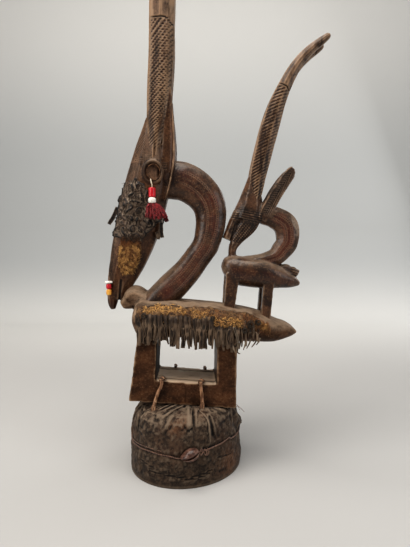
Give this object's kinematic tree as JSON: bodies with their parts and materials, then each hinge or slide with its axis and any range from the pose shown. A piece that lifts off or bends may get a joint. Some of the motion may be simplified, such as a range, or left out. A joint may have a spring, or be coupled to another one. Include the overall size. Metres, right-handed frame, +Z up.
{
  "type": "chiwara headdress",
  "caption": "Carved wooden antelope headdress with a fawn on its back, lashed to a cloth-covered cap with a cowrie, hide fringe and beaded earrings.",
  "frame": {"origin": "on the floor plane under the cap's rim, midway along the length and the width", "axes": "+Z up through the horns, -X the way the antelope faces, -Y the side seen in the picture"},
  "size_m": [0.3511, 0.1991, 0.8777],
  "materials": {
    "wood": "dark handled patina, semi-gloss",
    "cloth": "matt dark cloth",
    "cord": "matt twisted cord",
    "shell": "worn shell",
    "thong": "worn leather",
    "hide": "dry hide",
    "matted": "matted hide and fur",
    "brass": "dull brass",
    "thread": "matt thread",
    "red": "gloss bead",
    "white": "gloss bead",
    "yellow": "gloss bead",
    "tassel": "matt yarn"
  },
  "bodies": {
    "root": {"carving": "wood", "cap": "cloth", "girdle_cord": "cord", "cowrie_front": "shell", "cowrie_back": "shell", "thong_near_front": "thong", "thong_near_rear": "thong", "thong_far_front": "thong", "thong_far_rear": "thong", "hide_band_near": "hide", "hide_band_far": "hide", "face_hide_near": "matted", "face_hide_far": "matted", "brass_ring_near": "brass", "brass_ring_far": "brass", "earring_thread_near": "thread", "earring_thread_far": "thread", "red_bead_near": "red", "red_bead_far": "red", "white_bead_near": "white", "white_bead_far": "white", "tassel_near": "tassel", "tassel_far": "tassel", "muzzle_bead_white": "white", "muzzle_bead_red": "red", "muzzle_bead_yellow": "yellow", "muzzle_thread": "thread", "hide_strip_front": "hide", "hide_strip_throat": "hide", "hide_strip_jaw": "hide"}
  },
  "joints": []
}
